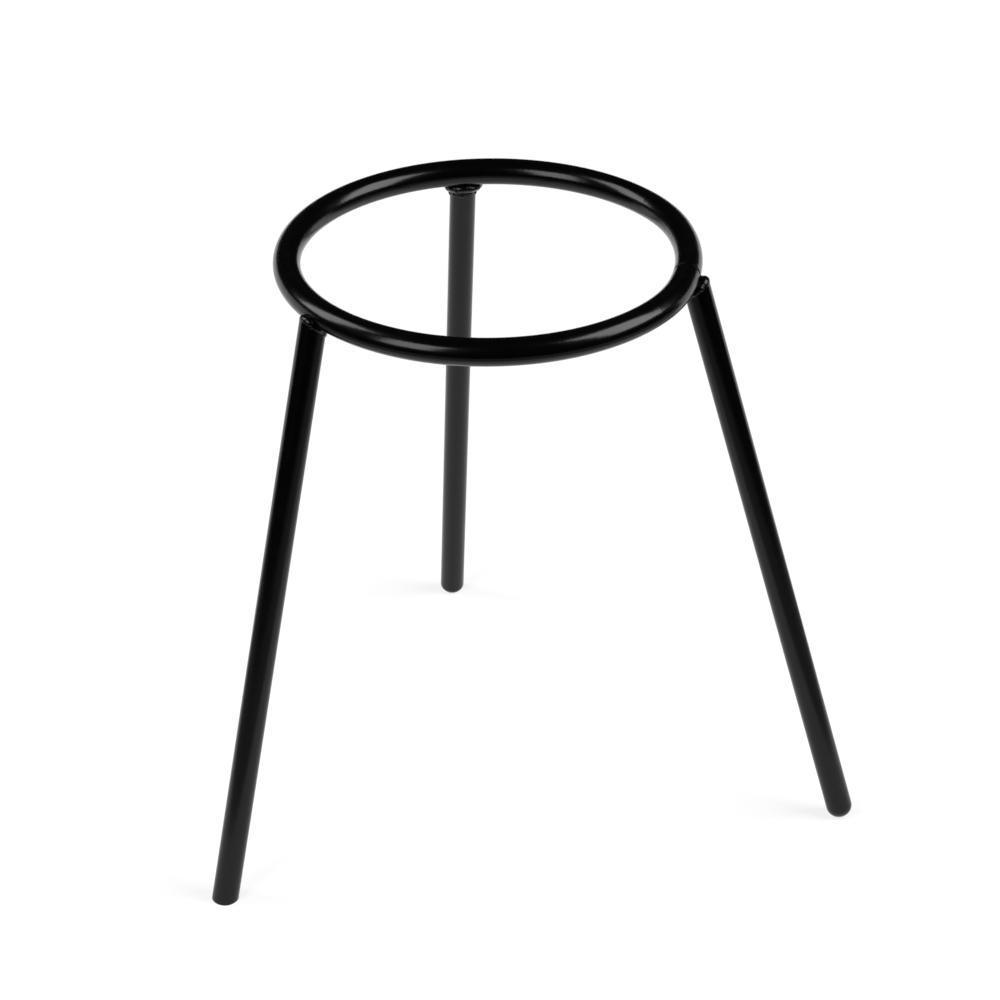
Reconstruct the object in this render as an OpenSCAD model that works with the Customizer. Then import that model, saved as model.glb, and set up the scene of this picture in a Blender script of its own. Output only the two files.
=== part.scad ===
// Lab tripod stand: a ring of round bar on three splayed legs cut from the same bar.
// Each leg is welded under the outer side of the ring. Millimetres, +Z up.
// The origin is on the bench, straight below the middle of the ring, and +Y runs
// towards the rear leg.

/* [Stand] */
// Height from the bench to the top of the ring
stand_h = 157.4; // [120:0.2:220]
// Diameter of the round bar that the ring and the legs are made of, with its enamel
bar_d = 6.8; // [6:0.2:8]

/* [Ring] */
// Diameter of the ring, measured to the middle of the bar
ring_d = 100; // [80:1:140]
// The middle of the ring's straighter part, where its bar's ends are, degrees round from +X
flat_at = 350; // [346:1:354]
// How far round from there the two ends meet, degrees
seam_off = -9; // [-10:1:10]
// How much tighter the bar is bent on each side of its straighter part, as a share
flatness = 0.14; // [0.07:0.07:0.21]
// Chamfer round the two ends where they meet
seam_chamfer = 0.5; // [0.3:0.1:0.8]

/* [Legs: left, right, rear] */
// Where each leg meets the ring, degrees round from +X
leg_at = [208.4, 340.6, 90]; // [0:0.1:360]
// How far round each foot has swung from its own joint, degrees
leg_swing = [3.7, -2.8, 0.4]; // [-8:0.1:8]
// Distance from the ring's axis at which each leg's axis reaches the bench
foot_reach = [89.8, 95.4, 90.2]; // [60:0.2:120]
// How far outside the middle of the ring's bar the legs' axes pass
leg_out = 1.5; // [0.5:0.1:2.5]
// The side of the ring that each leg's top is cut to face, degrees down from outwards
leg_flank = [41, 45, 100]; // [30:1:110]
// Space between each leg's top and the ring, filled with weld
leg_gap = [0.4, 1.2, 3.2]; // [0.1:0.1:4]
// Rounding of the edge of each foot
foot_round = [0.6, 3.2, 2.2]; // [0.3:0.1:3.2]
// How much of each foot is ground off, level with the bench
foot_ground = [1.6, 0.1, 0.1]; // [0.1:0.1:2]

/* [Welds] */
// How far the first run of weld stands out past the side of the leg
run_proud = 0.1; // [0.1:0.1:0.6]
// How much wider each next run is all round
run_flare = 1.4; // [0.4:0.2:1.8]
// How far each next run sits in from the one before it, towards the ring
run_drift = 1.2; // [1:0.1:1.3]
// Half the thickness of a run
bead_r = 1.3; // [1:0.1:1.5]
// Ripples in one run
bead_ripples = 9; // [6:1:11]

/* [Hidden] */
$fn = 144;

LEFT = 0;
RIGHT = 1;
REAR = 2;

bar_r = bar_d / 2;
ring_r = ring_d / 2;
ring_z = stand_h - bar_r;

// The ring's middle line is a chain of arcs that run smoothly into each other: a flatter
// one at the ends of the bar, a tighter one on each side of it, and the rest. They change
// over on the slopes of a 7-24-25 and a 3-4-5 triangle, so their centres are round numbers.
to_flat_end = [0.96, 0.28];
to_bend_end = [0.8, 0.6];
bend_r = ring_r * (1 - flatness);
flat_r = bend_r + (ring_r - bend_r) * to_bend_end.y / to_flat_end.y;
bend_centre = (ring_r - bend_r) * to_bend_end;
flat_centre = bend_centre - (flat_r - bend_r) * to_flat_end;
bend_end = acos(to_bend_end.x);
flat_end_point = flat_centre + flat_r * to_flat_end;
wedge_reach = 2 * ring_r;

cut_size = 4 * bar_d;

// The first run laps over the edge of the leg's top, each next one sinks a little into
// the one before it, and the last one into the ring. The ripples on them are the rounded
// fronts where the weld pool stopped and went on.
run_start = 0.25 * bead_r;
run_step = 1.5 * bead_r;
run_sink = 0.1;
ripple_r = 0.8 * bead_r;
ripple_proud = 0.3;
ripple_sway = 0.3;
ripple_wander = 150;
run_turn = 17;

bar_colour = "#101011";
weld_colour = "#1b1b1c";

// Distance from the origin, in direction at, to the circle of radius r round a centre
function reach_to_circle(centre, r, at) =
    let (
        along = centre.x * cos(at) + centre.y * sin(at),
        across = centre.x * sin(at) - centre.y * cos(at)
    )
    along + sqrt(r * r - across * across);

// Radius of the ring's middle line at an angle from the middle of its straighter part
function ring_r_near(at) =
    abs(at) >= bend_end ? ring_r
    : abs(at) >= atan2(flat_end_point.y, flat_end_point.x) ? reach_to_circle(bend_centre, bend_r, abs(at))
    : reach_to_circle(flat_centre, flat_r, at);

// Smallest turn from the middle of the straighter part to a direction, -180 to 180
function from_flat(at) = ((at - flat_at + 540) % 360) - 180;

function joint_r(i) = ring_r_near(from_flat(leg_at[i]));

function on_circle(r, at, z) = [r * cos(at), r * sin(at), z];

// Where the axis of leg i crosses the level of the ring, and where it meets the bench
function leg_head(i) = on_circle(joint_r(i) + leg_out, leg_at[i], ring_z);
function leg_foot(i) = on_circle(foot_reach[i], leg_at[i] + leg_swing[i], 0);
function leg_run(i) = leg_head(i) - leg_foot(i);
function leg_lean(i) = acos(leg_run(i).z / norm(leg_run(i)));

// Height of the middle of the foot's end, with the ground part still on below the bench
function foot_lift(i) =
    (bar_r - foot_round[i]) * sin(leg_lean(i)) + foot_round[i] * (1 - cos(leg_lean(i))) - foot_ground[i];

// Which way the top of leg i faces away from the ring, and the middle of the ring's bar there
function joint_way(i) =
    let (out = cos(leg_flank[i]))
    [out * cos(leg_at[i]), out * sin(leg_at[i]), -sin(leg_flank[i])];
function joint_middle(i) = on_circle(joint_r(i), leg_at[i], ring_z);

// Where the axis of leg i passes through its top
function leg_top(i) =
    let (
        way = joint_way(i),
        from_middle = (leg_head(i) - joint_middle(i)) * way
    )
    leg_head(i) + leg_run(i) * (bar_r + leg_gap[i] - from_middle) / (leg_run(i) * way);

// Runs of weld laid one on the other that it takes to reach from leg i to the ring
function weld_runs(i) =
    1 + max(0, ceil((leg_gap[i] + run_sink - run_start - bead_r) / run_step));

// The bar carried once round a circle
module hoop(radius) {
    rotate_extrude() translate([radius, 0]) circle(bar_r);
}

// The slice of space between two directions
module wedge(from, to) {
    linear_extrude(height = 2 * bar_d, center = true)
        polygon([[0, 0], wedge_reach * from, wedge_reach * to]);
}

// The whole ring before its seam is cut, with the middle of its straighter part on +X
module ring_bar() {
    translate(flat_centre) intersection() {
        hoop(flat_r);
        wedge([to_flat_end.x, -to_flat_end.y], to_flat_end);
    }
    for (side = [0, 1]) mirror([0, side, 0]) translate(bend_centre) intersection() {
        hoop(bend_r);
        wedge(to_flat_end, to_bend_end);
    }
    difference() {
        hoop(ring_r);
        wedge([to_bend_end.x, -to_bend_end.y], to_bend_end);
    }
}

module placed_ring() {
    translate([0, 0, ring_z]) rotate(flat_at) ring_bar();
}

// What is missing all round the bar where its two chamfered ends meet
module seam_groove() {
    rotate([-90, 0, 0]) rotate_extrude()
        polygon([[bar_r - seam_chamfer, 0], [bar_r + seam_chamfer, 2 * seam_chamfer],
            [bar_r + seam_chamfer, -2 * seam_chamfer]]);
}

module ring() {
    color(bar_colour) translate([0, 0, ring_z]) rotate(flat_at) difference() {
        ring_bar();
        translate(flat_centre) rotate(seam_off) translate([flat_r, 0, 0]) seam_groove();
    }
}

// Half section of a bar with one rounded end, standing on the origin
module bar_section(length, rounding) {
    square([bar_r - rounding, length]);
    translate([0, rounding]) square([bar_r, length - rounding]);
    translate([bar_r - rounding, rounding]) intersection() {
        circle(rounding);
        translate([0, -rounding]) square(rounding);
    }
}

// Stands what follows on the top of leg i, +Z pointing down and away from the ring
module at_top(i) {
    translate(leg_top(i)) rotate([0, 90 + leg_flank[i], leg_at[i]]) children();
}

// Leg i, with its top cut to lie along the side of the ring and its foot ground level
module leg(i) {
    run = leg_run(i);
    start = leg_foot(i) + run * foot_lift(i) / run.z;
    color(bar_colour) difference() {
        translate(start) rotate([0, leg_lean(i), atan2(run.y, run.x)])
            rotate_extrude() bar_section(norm(run), foot_round[i]);
        at_top(i) translate([-cut_size / 2, -cut_size / 2, -cut_size]) cube(cut_size);
        translate([leg_foot(i).x - cut_size / 2, leg_foot(i).y - cut_size / 2, -cut_size])
            cube(cut_size);
    }
}

// A run of weld carried once round a leg's top and filled in, with ripples on its rim
module bead(radius, turn) {
    rotate_extrude() {
        translate([radius - bead_r, 0]) circle(bead_r);
        translate([0, -bead_r]) square([radius - bead_r, 2 * bead_r]);
    }
    for (k = [0 : bead_ripples - 1])
        rotate(360 * k / bead_ripples + turn)
            translate([radius - ripple_r + ripple_proud, 0, ripple_sway * sin(ripple_wander * k)])
                sphere(ripple_r);
}

// The weld metal between the top of leg i and the ring
module weld(i) {
    color(weld_colour) difference() {
        at_top(i) for (k = [0 : weld_runs(i) - 1])
            translate([run_drift * k, 0, -run_start - run_step * k])
                bead(bar_r + run_proud + run_flare * k, run_turn * (1 + i + k));
        placed_ring();
        leg(i);
    }
}

ring();
leg(LEFT);  // leg_left
leg(RIGHT);  // leg_right
leg(REAR);  // leg_rear
weld(LEFT);  // weld_left
weld(RIGHT);  // weld_right
weld(REAR);  // weld_rear
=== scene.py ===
import math

import bpy
import numpy as np
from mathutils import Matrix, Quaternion, Vector


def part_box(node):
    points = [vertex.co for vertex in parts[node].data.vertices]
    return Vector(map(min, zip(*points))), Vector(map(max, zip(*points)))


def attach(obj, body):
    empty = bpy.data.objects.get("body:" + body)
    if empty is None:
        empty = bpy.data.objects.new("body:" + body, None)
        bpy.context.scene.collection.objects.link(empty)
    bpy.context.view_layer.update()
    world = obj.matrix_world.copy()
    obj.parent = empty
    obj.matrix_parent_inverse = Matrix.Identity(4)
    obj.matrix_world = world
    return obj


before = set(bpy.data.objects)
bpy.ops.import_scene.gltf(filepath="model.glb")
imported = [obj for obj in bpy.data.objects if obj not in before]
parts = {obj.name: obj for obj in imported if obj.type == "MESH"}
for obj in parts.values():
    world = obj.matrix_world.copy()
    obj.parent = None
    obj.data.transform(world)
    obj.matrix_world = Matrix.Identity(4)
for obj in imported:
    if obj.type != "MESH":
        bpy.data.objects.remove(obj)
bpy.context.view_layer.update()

# ------------------------------------------------------------------ ring
# The hoop that carries the glassware: hot-rolled mild steel round bar, bent on a roller
# and butt welded where its two chamfered ends meet. The whole stand is then dipped in
# black stoving enamel and baked, which levels to a wet gloss with a faint orange peel.


def place(tree, kind, inputs=(), **settings):
    """Adds a node of a kind, with its own settings and the values of its inputs."""
    node = tree.nodes.new(kind)
    for name, value in settings.items():
        setattr(node, name, value)
    for name, value in dict(inputs).items():
        node.inputs[name].default_value = value
    return node


def sums(tree, operation, first, second, clamp=False):
    """A Math node; each side is an output socket or a plain number."""
    node = place(tree, "ShaderNodeMath", operation=operation, use_clamp=clamp)
    for socket, value in zip(node.inputs, (first, second)):
        if isinstance(value, (int, float)):
            socket.default_value = value
        else:
            tree.links.new(value, socket)
    return node.outputs[0]


def new_group(name, inputs, outputs):
    """An empty shader node group with named inputs and outputs, and its two end nodes."""
    group = bpy.data.node_groups.new(name, "ShaderNodeTree")
    for label, kind, value in inputs:
        socket = group.interface.new_socket(label, in_out="INPUT", socket_type=kind)
        if value is not None:
            socket.default_value = value
    for label, kind in outputs:
        group.interface.new_socket(label, in_out="OUTPUT", socket_type=kind)
    return group, group.nodes.new("NodeGroupInput"), group.nodes.new("NodeGroupOutput")


# Dipped enamel: its skin has an orange peel a millimetre or two across, long soft sags
# where it ran before it set, and a few dust nibs baked in under it.
dipped, dipped_in, dipped_out = new_group(
    "dipped_enamel",
    [("Vector", "NodeSocketVector", None), ("Peel", "NodeSocketFloat", 1.0),
     ("Sags", "NodeSocketFloat", 1.0), ("Nibs", "NodeSocketFloat", 1.0)],
    [("Height", "NodeSocketFloat"), ("Cloud", "NodeSocketFloat")])
peel = place(dipped, "ShaderNodeTexNoise", {"Scale": 520, "Detail": 2, "Roughness": 0.45})
sag = place(dipped, "ShaderNodeTexNoise", {"Scale": 75, "Detail": 1, "Roughness": 0.4})
grit = place(dipped, "ShaderNodeTexVoronoi", {"Scale": 330, "Randomness": 1})
cloud = place(dipped, "ShaderNodeTexNoise", {"Scale": 130, "Detail": 3, "Roughness": 0.6})
for texture in (peel, sag, grit, cloud):
    dipped.links.new(dipped_in.outputs["Vector"], texture.inputs["Vector"])
rare = sums(dipped, "GREATER_THAN", grit.outputs["Color"], 0.86)
nib = sums(dipped, "SUBTRACT", 1, sums(dipped, "MULTIPLY", grit.outputs["Distance"], 6), True)
nib = sums(dipped, "MULTIPLY", nib, rare)
skin = sums(dipped, "MULTIPLY", peel.outputs["Fac"], dipped_in.outputs["Peel"])
skin = sums(dipped, "ADD", skin,
            sums(dipped, "MULTIPLY", sag.outputs["Fac"], dipped_in.outputs["Sags"]))
skin = sums(dipped, "ADD", skin, sums(dipped, "MULTIPLY", nib, dipped_in.outputs["Nibs"]))
dipped.links.new(skin, dipped_out.inputs["Height"])
dipped.links.new(cloud.outputs["Fac"], dipped_out.inputs["Cloud"])

# Rubbing: a patchy band where the enamel has been handled or stood on, full at one
# height and gone a little way from it.
rubbed, rubbed_in, rubbed_out = new_group(
    "rubbed_band",
    [("Vector", "NodeSocketVector", None), ("Level", "NodeSocketFloat", 0.0),
     ("Reach", "NodeSocketFloat", 0.002)],
    [("Mask", "NodeSocketFloat")])
split = place(rubbed, "ShaderNodeSeparateXYZ")
patch = place(rubbed, "ShaderNodeTexNoise", {"Scale": 260, "Detail": 4, "Roughness": 0.65})
rubbed.links.new(rubbed_in.outputs["Vector"], split.inputs[0])
rubbed.links.new(rubbed_in.outputs["Vector"], patch.inputs["Vector"])
away = sums(rubbed, "ABSOLUTE",
            sums(rubbed, "SUBTRACT", split.outputs["Z"], rubbed_in.outputs["Level"]), 0)
away = sums(rubbed, "DIVIDE", away, rubbed_in.outputs["Reach"])
ragged = sums(rubbed, "MULTIPLY", sums(rubbed, "SUBTRACT", patch.outputs["Fac"], 0.5), 2.4)
band = sums(rubbed, "SUBTRACT", sums(rubbed, "ADD", 0.6, ragged), away, True)
rubbed.links.new(band, rubbed_out.inputs["Mask"])


def enamel(name, gloss, peel_depth, band_level, band_reach, rub_loss=0.2, sags=1.6, nibs=0.5):
    """Black gloss enamel on steel. Its roughness is the gloss plus a little of the
    enamel's own cloudiness, and rises with its colour where the coat has been rubbed."""
    material = bpy.data.materials.new(name)
    material.use_nodes = True
    tree = material.node_tree
    shader = tree.nodes["Principled BSDF"]
    shader.inputs["IOR"].default_value = 1.34
    where = place(tree, "ShaderNodeTexCoord")
    coat = place(tree, "ShaderNodeGroup", node_tree=dipped)
    coat.inputs["Sags"].default_value = sags
    coat.inputs["Nibs"].default_value = nibs
    rub = place(tree, "ShaderNodeGroup", node_tree=rubbed)
    rub.inputs["Level"].default_value = band_level
    rub.inputs["Reach"].default_value = band_reach
    tree.links.new(where.outputs["Object"], coat.inputs["Vector"])
    tree.links.new(where.outputs["Object"], rub.inputs["Vector"])
    tint = place(tree, "ShaderNodeMix", data_type="RGBA")
    tint.inputs["A"].default_value = (0.0009, 0.0009, 0.0011, 1)
    tint.inputs["B"].default_value = (0.03 * rub_loss, 0.029 * rub_loss, 0.028 * rub_loss, 1)
    tree.links.new(rub.outputs["Mask"], tint.inputs["Factor"])
    tree.links.new(tint.outputs["Result"], shader.inputs["Base Color"])
    dull = sums(tree, "MULTIPLY", sums(tree, "SUBTRACT", coat.outputs["Cloud"], 0.5), 0.12)
    dull = sums(tree, "ADD", dull, sums(tree, "MULTIPLY", rub.outputs["Mask"], rub_loss))
    tree.links.new(sums(tree, "ADD", dull, gloss, True), shader.inputs["Roughness"])
    bump = place(tree, "ShaderNodeBump", {"Strength": 1.0, "Distance": peel_depth})
    tree.links.new(coat.outputs["Height"], bump.inputs["Height"])
    tree.links.new(bump.outputs["Normal"], shader.inputs["Normal"])
    return material


def finish(part, material):
    """Puts one material on a whole piece."""
    part.data.materials.clear()
    part.data.materials.append(material)


ring_low, ring_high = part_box("ring")
RING_LEVEL = (ring_low[2] + ring_high[2]) / 2
ring_enamel = enamel("ring_enamel_black", 0.19, 0.00002, ring_high[2], 0.0003, rub_loss=0.06)
finish(parts["ring"], ring_enamel)

# The two ends do not quite match at the joint: the front one keeps a rounded lip of
# weld and enamel all round it, laid in the groove between the chamfers.
SEAM_AT, SEAM_OUT = math.radians(341), 0.0493
BAR_RADIUS = (ring_high[2] - ring_low[2]) / 2


def bar_lip(name, at, out, step, thickness):
    """A round lip about the ring's bar: a small circle of the given half thickness
    carried round the bar's section, just inside its surface, one step round the ring
    from the joint. The lip's place along the ring sways slowly as it goes round."""
    u = np.linspace(0, 2 * np.pi, 160, endpoint=False)[:, None]
    v = np.linspace(0, 2 * np.pi, 20, endpoint=False)[None, :]
    away = BAR_RADIUS - 0.00003 - thickness + thickness * np.cos(v)
    along = step + thickness * 1.1 * np.sin(v) + 0.00005 * np.sin(3 * u + 1) + 0 * u
    radius = out + away * np.cos(u)
    points = np.stack([radius * np.cos(at) - along * np.sin(at),
                       radius * np.sin(at) + along * np.cos(at),
                       RING_LEVEL + away * np.sin(u)], 2)
    return closed_surface(name, points)


def closed_surface(name, points):
    """A mesh object from a grid of points that closes on itself both ways."""
    rows, columns = points.shape[:2]
    index = np.arange(rows * columns).reshape(rows, columns)
    after, beside = np.roll(index, -1, 0), np.roll(index, -1, 1)
    faces = np.stack([index, after, np.roll(after, -1, 1), beside], 2).reshape(-1, 4)
    mesh = bpy.data.meshes.new(name)
    mesh.from_pydata(points.reshape(-1, 3).tolist(), [], faces.tolist())
    mesh.polygons.foreach_set("use_smooth", np.ones(len(faces), dtype=bool))
    piece = bpy.data.objects.new(name, mesh)
    bpy.context.scene.collection.objects.link(piece)
    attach(piece, "root")
    return piece


lip = bar_lip("seam_lip", SEAM_AT, SEAM_OUT, -0.00032, 0.00042)
finish(lip, ring_enamel)

# ------------------------------------------------------------------ legs
# Three lengths of the same bar, leaning out. Their tops are cut to lie along the ring.
# The left foot is ground flat and the other two are domed; all three have lost a little
# gloss where they stand on the bench.
leg_enamel = enamel("leg_enamel_black", 0.2, 0.00002, 0.0, 0.0009, sags=2.2)
for name in ("leg_left", "leg_right", "leg_rear"):
    finish(parts[name], leg_enamel)

# ------------------------------------------------------------------ welds
# Each leg is arc welded to the ring all round its cut top: one run on each front leg and
# two on the rear one. The pool froze in ripples like a stack of coins, and the enamel
# lies thicker and less even over them.
weld_enamel = enamel("weld_enamel_black", 0.26, 0.00002, -1.0, 0.001, sags=2.5, nibs=1)


def cut_top(leg):
    """The flat cut at the top of a leg: the points of its rim, and the way it faces. Of
    all directions that the leg's faces look in, the cut is the one with the most area
    that does not look at the bench."""
    mesh = leg.data
    count = len(mesh.polygons)
    ways, areas = np.empty(count * 3), np.empty(count)
    mesh.polygons.foreach_get("normal", ways)
    mesh.polygons.foreach_get("area", areas)
    ways = ways.reshape(-1, 3)
    kinds, kind_of = np.unique(ways.round(3), axis=0, return_inverse=True)
    kind_of = kind_of.ravel()
    total = np.bincount(kind_of, weights=areas) * (kinds[:, 2] > -0.9)
    way = ways[kind_of == total.argmax()].mean(0)
    way /= np.linalg.norm(way)
    points = np.empty(len(mesh.vertices) * 3)
    mesh.vertices.foreach_get("co", points)
    points = points.reshape(-1, 3)
    out = points @ way
    return points[out > out.max() - 2e-6], way


def weld_run(name, rim, way, inset, lift, drift, thickness, ripples, seed):
    """A run of weld laid along a closed rim. u goes once round the rim and v once round
    the run. The path is the rim drawn in by the inset, raised by the lift along the way
    it faces and shifted towards the ring by the drift. The run's half thickness swells
    and shrinks with each ripple, v bends the ripples into crescents, and slow waves make
    them uneven."""
    turns, rounds = 320, 32
    random = np.random.default_rng(seed)
    side = np.cross(way, (0, 0, 1))
    side /= np.linalg.norm(side)
    down = np.cross(side, way)
    low = np.array([(rim @ side).min(), (rim @ down).min()])
    high = np.array([(rim @ side).max(), (rim @ down).max()])
    half = (high - low) / 2 - inset
    middle = (side * (low[0] + high[0]) / 2 + down * ((low[1] + high[1]) / 2 + drift)
              + way * (rim @ way).mean())
    u = np.linspace(0, 2 * np.pi, turns, endpoint=False)[:, None]
    v = np.linspace(0, 2 * np.pi, rounds, endpoint=False)[None, :]
    wander = sum(random.uniform(-1, 1) * np.cos(k * u + random.uniform(0, 6.3)) / k
                 for k in range(2, 7))
    phase = ripples * u / (2 * np.pi) + 0.15 * wander + 0.3 * np.cos(v)
    step = phase - np.floor(phase)
    swell = np.sqrt(step) * (1 - step ** 5)
    half_thick = thickness * (0.88 + 0.15 * swell + 0.07 * wander)
    outward = np.stack([np.cos(u) / half[0], np.sin(u) / half[1]], 2)
    outward /= np.linalg.norm(outward, axis=2, keepdims=True)
    reach = np.stack([half[0] * np.cos(u), half[1] * np.sin(u)], 2)
    reach = reach + outward * (half_thick * np.cos(v))[:, :, None]
    rise = lift + half_thick * np.sin(v) + 0.00007 * wander
    points = (middle + reach[:, :, :1] * side + reach[:, :, 1:] * down
              + rise[:, :, None] * way)
    piece = closed_surface(name, points[:, ::-1])
    finish(piece, weld_enamel)
    return piece


for name in ("weld_left", "weld_right", "weld_rear"):
    finish(parts[name], weld_enamel)
left_rim, left_way = cut_top(parts["leg_left"])
weld_run("run_left", left_rim, left_way, 0.0009, 0.0003, 0, 0.0011, 7, 3)
right_rim, right_way = cut_top(parts["leg_right"])
weld_run("run_right", right_rim, right_way, 0.0012, 0.0003, 0, 0.0014, 5, 5)
rear_rim, rear_way = cut_top(parts["leg_rear"])
weld_run("run_rear_lower", rear_rim, rear_way, 0.0008, 0.0005, 0, 0.0009, 9, 7)
weld_run("run_rear_upper", rear_rim, rear_way, -0.0006, 0.0023, 0.0012, 0.001, 8, 11)

# ------------------------------------------------------------------ bench
# The stand is on a wide sheet of white card. Past the edges of the camera's view, in front and
# to the sides, lie a grey sheet and then a black one that only reflections see: a painted
# reflection. The enamel mirrors all the white seen with it, and past that these sheets make it
# mirror a dimmer floor and a dark studio.


def sheet_round(name, inner, outer, start, stop, back, level):
    """A flat sector of four-sided faces: radius between inner and outer, direction
    between start and stop degrees, about a point that lies back from the middle."""
    turn = np.radians(np.linspace(start, stop, 181))[:, None]
    radius = np.array([[inner, outer]])
    points = np.stack([radius * np.cos(turn), radius * np.sin(turn) + back,
                       0 * radius * turn + level], 2)
    index = np.arange(362).reshape(181, 2)
    faces = np.stack([index[:-1, 0], index[:-1, 1], index[1:, 1], index[1:, 0]], 1)
    mesh = bpy.data.meshes.new(name)
    mesh.from_pydata(points.reshape(-1, 3).tolist(), [], faces.tolist())
    sheet = bpy.data.objects.new(name, mesh)
    bpy.context.scene.collection.objects.link(sheet)
    return sheet


HORIZON = 20
bench = sheet_round("bench", 0, HORIZON, 0, 360, 0, 0)
card = bpy.data.materials.new("white_card")
card.use_nodes = True
tree = card.node_tree
tree.nodes.clear()
surface = place(tree, "ShaderNodeOutputMaterial")
matt = place(tree, "ShaderNodeBsdfDiffuse", {"Color": (0.28, 0.28, 0.28, 1)})
glow = place(tree, "ShaderNodeEmission")
both = place(tree, "ShaderNodeAddShader")
path = place(tree, "ShaderNodeLightPath")
seen = sums(tree, "MAXIMUM", path.outputs["Is Camera Ray"], path.outputs["Is Glossy Ray"])
seen = sums(tree, "MAXIMUM", seen, path.outputs["Is Transmission Ray"])
# Its glow grows outwards as the lamps' light on it fades, so that it stays white.
where = place(tree, "ShaderNodeTexCoord")
outwards = place(tree, "ShaderNodeVectorMath", operation="LENGTH")
fading = place(tree, "ShaderNodeMapRange",
               {"From Min": 0.3, "From Max": 1.5, "To Min": 0.74, "To Max": 1})
tree.links.new(where.outputs["Object"], outwards.inputs[0])
tree.links.new(outwards.outputs["Value"], fading.inputs["Value"])
tree.links.new(sums(tree, "MULTIPLY", seen, fading.outputs["Result"]), glow.inputs["Strength"])
tree.links.new(matt.outputs[0], both.inputs[0])
tree.links.new(glow.outputs[0], both.inputs[1])
tree.links.new(both.outputs[0], surface.inputs["Surface"])
finish(bench, card)

VIEW_EDGE, GREY_END = 0.19, 0.46
# Painted reflection: a grey sheet from the edge of the view out to GREY_END, then a black one
# to the horizon. Reflections alone see them. The grey one stands in for a dimmer floor and the
# black one for the dark studio.
for name, inner, outer, grey in (("painted_reflection_grey", VIEW_EDGE, GREY_END, 0.28),
                                 ("painted_reflection_black", GREY_END, HORIZON, 0)):
    reflection_sheet = sheet_round(name, inner, outer, -196, 12, 0.03, 0.001)
    reflection_sheet_material = bpy.data.materials.new(name)
    reflection_sheet_material.use_nodes = True
    sheet_inputs = reflection_sheet_material.node_tree.nodes["Principled BSDF"].inputs
    sheet_inputs["Base Color"].default_value = (grey, grey, grey, 1)
    sheet_inputs["Specular IOR Level"].default_value = 0
    finish(reflection_sheet, reflection_sheet_material)
    # Hidden from the camera, from diffuse light and from shadows, so that only reflections see
    # these painted-reflection sheets.
    for ray in ("camera", "diffuse", "transmission", "volume_scatter", "shadow"):
        setattr(reflection_sheet, "visible_" + ray, False)

# ------------------------------------------------------------------ lamps
# Three soft boxes round the bench, a big one to the right and two to the left with a
# dark gap between them, and a little light from all round.
world = bpy.data.worlds.new("studio")
bpy.context.scene.world = world
world.use_nodes = True
world.node_tree.nodes["Background"].inputs["Color"].default_value = (0.012, 0.012, 0.012, 1)


def softbox(name, azimuth, elevation, reach, width, height, radiance):
    """A soft lamp facing the stand: at an azimuth round from +X and a height above the
    bench, reach away from the stand's middle, of a given size and surface brightness."""
    middle = Vector((0, 0, 0.12))
    a, e = math.radians(azimuth), math.radians(elevation)
    out = Vector((math.cos(a) * math.cos(e), math.sin(a) * math.cos(e), math.sin(e)))
    lamp = bpy.data.lights.new(name, "AREA")
    lamp.shape = "RECTANGLE"
    lamp.size = width
    lamp.size_y = height
    lamp.energy = radiance * math.pi * width * height
    holder = bpy.data.objects.new(name, lamp)
    bpy.context.scene.collection.objects.link(holder)
    holder.location = middle + reach * out
    holder.rotation_mode = "QUATERNION"
    holder.rotation_quaternion = out.to_track_quat("Z", "Y")
    holder.visible_camera = False


softbox("lamp_right", -17, 36, 1.2, 0.8, 0.95, 7)
softbox("lamp_left", 161, 36, 1.2, 0.5, 0.8, 6)
softbox("lamp_front_left", -140, 31, 1.2, 0.55, 0.8, 6)

# ------------------------------------------------------------------ camera
# A long lens above and a little to the left of the front, looking down at the stand.
camera_data = bpy.data.cameras.new("camera")
camera_data.lens = 110.04
camera_data.sensor_width = 36
camera = bpy.data.objects.new("camera", camera_data)
bpy.context.scene.collection.objects.link(camera)
camera.location = (-0.08619, -0.67285, RING_LEVEL + 0.336)
aim = Vector((0.00211, -0.00028, RING_LEVEL - 0.07006)) - camera.location
tilt = Quaternion(aim.normalized(), math.radians(0.48))
camera.rotation_mode = "QUATERNION"
camera.rotation_quaternion = tilt @ aim.to_track_quat("-Z", "Y")
bpy.context.scene.camera = camera
bpy.context.scene.view_settings.view_transform = "Standard"
